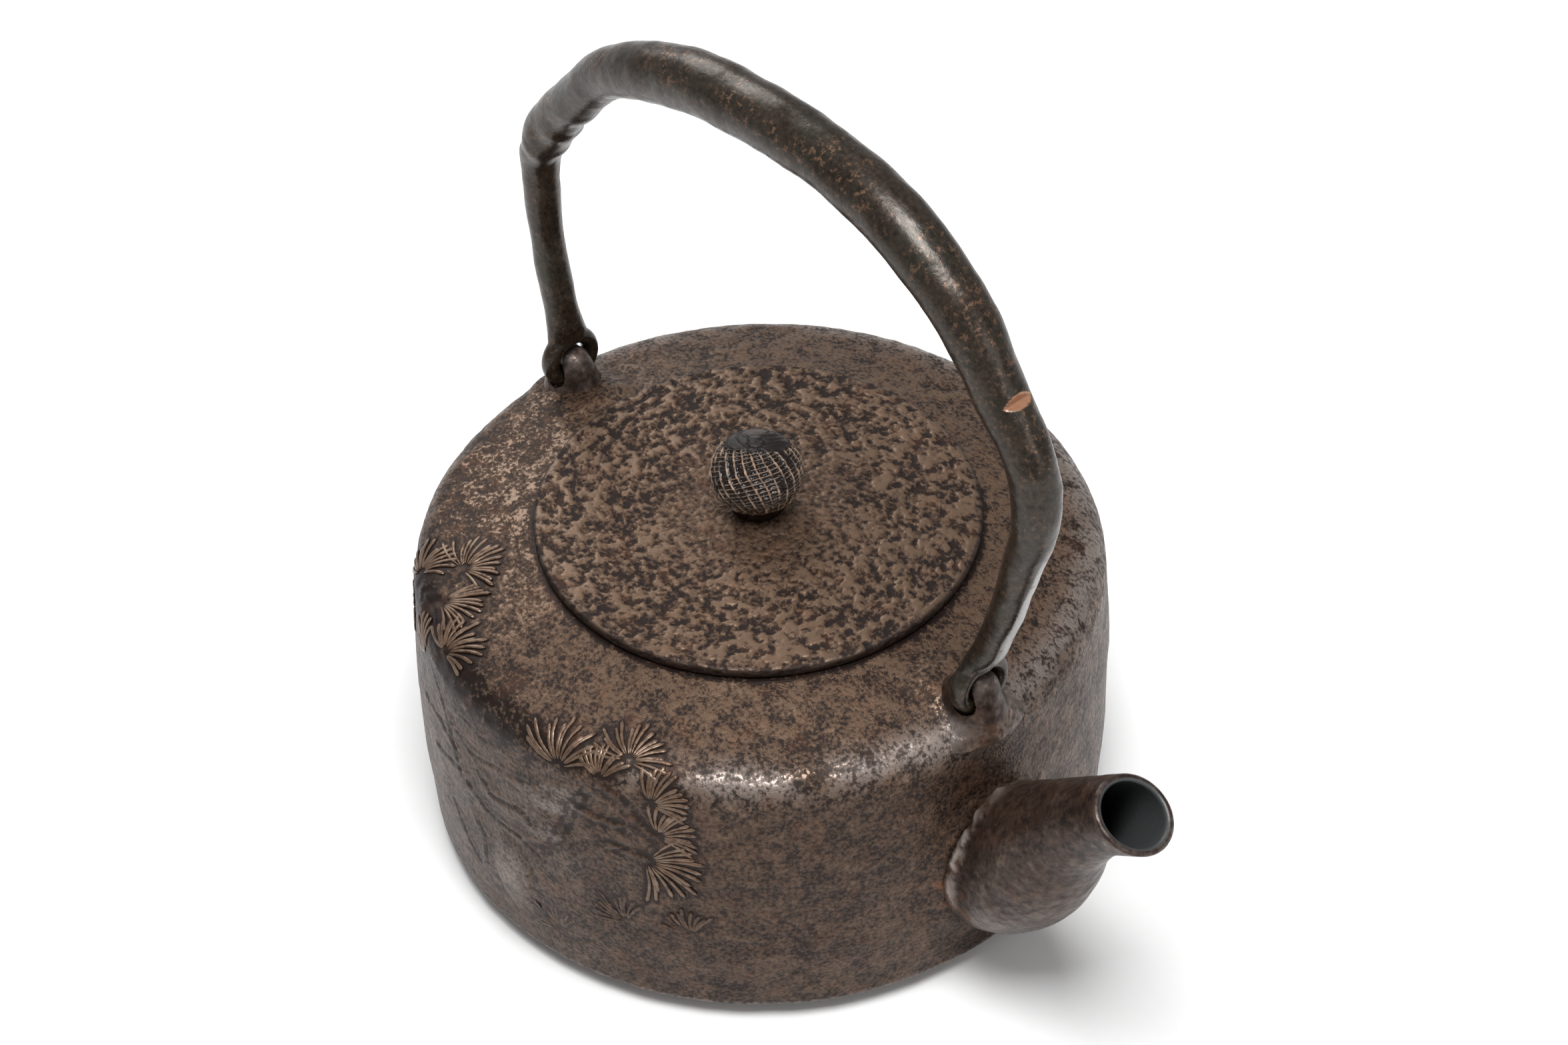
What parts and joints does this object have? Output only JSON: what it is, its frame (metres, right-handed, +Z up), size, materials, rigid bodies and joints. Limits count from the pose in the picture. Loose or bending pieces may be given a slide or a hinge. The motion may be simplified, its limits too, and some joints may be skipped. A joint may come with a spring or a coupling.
{
  "type": "cast iron kettle",
  "caption": "Low round cast-iron kettle with a swan spout, a lift-off lid with a turning pine-cone knob and a swinging bail handle.",
  "frame": {"origin": "centre of the flat face that the kettle stands on", "axes": "+Z up, +X towards the spout; the bail handle, both lugs and the spout lie in the XZ plane"},
  "size_m": [0.2249, 0.1722, 0.2193],
  "materials": {
    "body_iron": "sand-cast skin, lacquer burnt on, semi-matt dark brown",
    "spout_iron": "smoother cast skin, semi-matt dark brown with a grey sheen",
    "lid_iron": "mottled rough skin, tan-brown over dark purple-brown",
    "handle_iron": "lacquered and hand-polished, near black with rust flecks",
    "knob_iron": "glossy dark lacquer, worn tan on the ridges",
    "rivet_brass": "dull, hand-peened"
  },
  "bodies": {
    "kettle": {"kettle_body": "body_iron", "spout": "spout_iron", "front_lug": "body_iron", "rear_lug": "body_iron"},
    "handle": {"bail_handle": "handle_iron"},
    "lid": {"lid": "lid_iron"},
    "knob": {"lid_knob": "knob_iron", "knob_pin": "rivet_brass", "knob_washer": "rivet_brass"}
  },
  "joints": [
    {"name": "handle_swing", "type": "hinge", "parent": "kettle", "child": "handle", "pos_m": [0, 0, 0.0905], "axis": [1, 0, 0], "range_deg": [-90, 90]},
    {"name": "lid_lift", "type": "slide", "parent": "kettle", "child": "lid", "axis": [0, 0, 1], "range_m": [0, 0.04]},
    {"name": "knob_spin", "type": "hinge", "parent": "lid", "child": "knob", "pos_m": [0, 0, 0.0905], "axis": [0, 0, 1], "continuous": true}
  ]
}
